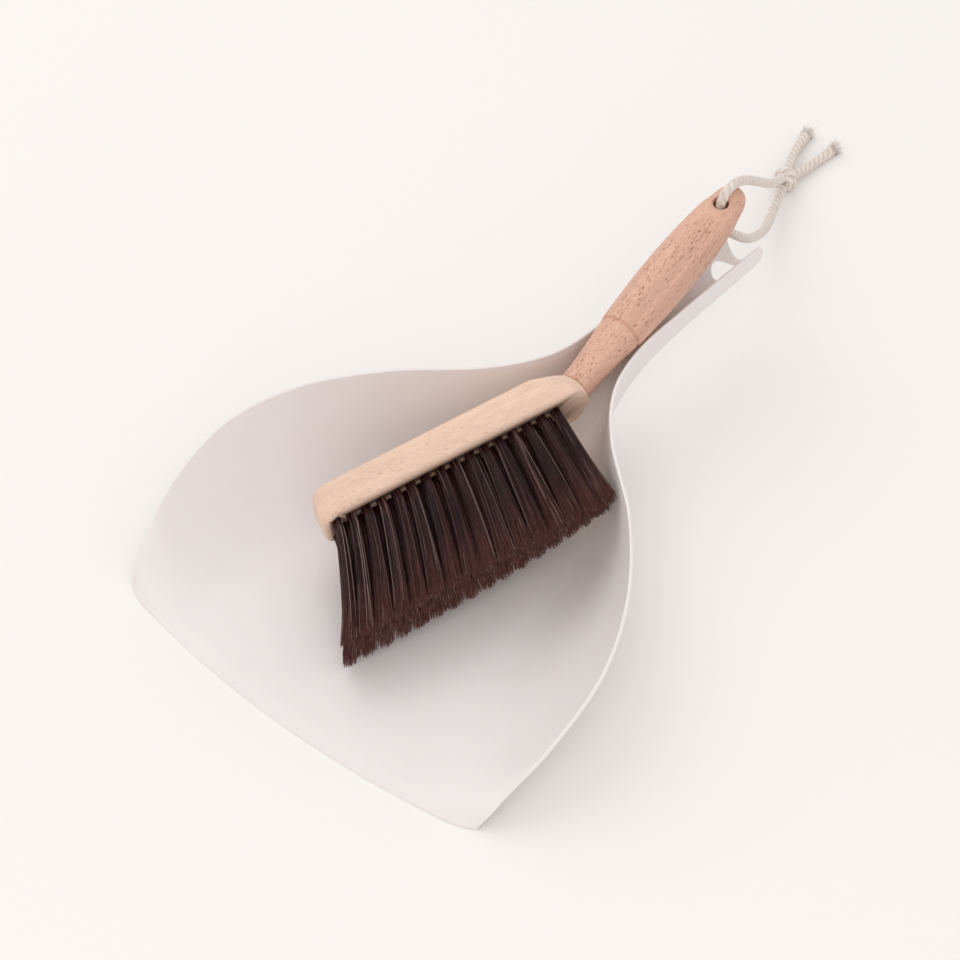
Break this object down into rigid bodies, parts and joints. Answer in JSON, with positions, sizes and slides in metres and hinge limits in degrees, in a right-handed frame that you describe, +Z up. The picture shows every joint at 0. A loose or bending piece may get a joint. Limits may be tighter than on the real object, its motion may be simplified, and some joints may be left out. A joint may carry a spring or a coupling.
{
  "type": "dust pan and brush set",
  "caption": "Moulded scoop dust pan with a channel handle, and a wooden hand brush with a cord loop resting in it.",
  "frame": {"origin": "on the dust pan's flat underside, on its centre line, 95 mm behind the lip's two corners", "axes": "+Z up out of the pan, +Y from the lip towards the handle, +X to the right seen from the lip"},
  "size_m": [0.2408, 0.5067, 0.096],
  "materials": {
    "pan_plastic": "moulded, satin",
    "beech": "sanded, unvarnished",
    "grip_wood": "turned, unvarnished, open pores",
    "bristle": "dark brown hair",
    "cotton_cord": "twisted cotton"
  },
  "bodies": {
    "dustpan": {"dust_pan": "pan_plastic"},
    "brush": {"brush_block": "beech", "brush_handle": "grip_wood", "tuft_a01": "bristle", "tuft_a02": "bristle", "tuft_a03": "bristle", "tuft_a04": "bristle", "tuft_a05": "bristle", "tuft_a06": "bristle", "tuft_a07": "bristle", "tuft_a08": "bristle", "tuft_a09": "bristle", "tuft_a10": "bristle", "tuft_a11": "bristle", "tuft_a12": "bristle", "tuft_a13": "bristle", "tuft_a14": "bristle", "tuft_a15": "bristle", "tuft_a16": "bristle", "tuft_b01": "bristle", "tuft_b02": "bristle", "tuft_b03": "bristle", "tuft_b04": "bristle", "tuft_b05": "bristle", "tuft_b06": "bristle", "tuft_b07": "bristle", "tuft_b08": "bristle", "tuft_b09": "bristle", "tuft_b10": "bristle", "tuft_b11": "bristle", "tuft_b12": "bristle", "tuft_b13": "bristle", "tuft_b14": "bristle", "tuft_b15": "bristle", "tuft_c01": "bristle", "tuft_c02": "bristle", "tuft_c03": "bristle", "tuft_c04": "bristle", "tuft_c05": "bristle", "tuft_c06": "bristle", "tuft_c07": "bristle", "tuft_c08": "bristle", "tuft_c09": "bristle", "tuft_c10": "bristle", "tuft_c11": "bristle", "tuft_c12": "bristle", "tuft_c13": "bristle", "tuft_c14": "bristle", "tuft_c15": "bristle", "tuft_c16": "bristle", "cord_upper": "cotton_cord", "cord_lower": "cotton_cord", "cord_knot": "cotton_cord", "cord_tail_left": "cotton_cord", "cord_tail_right": "cotton_cord"}
  },
  "joints": [
    {"name": "brush_lift", "type": "slide", "parent": "dustpan", "child": "brush", "axis": [0, 0, 1], "range_m": [0, 0.15]}
  ]
}
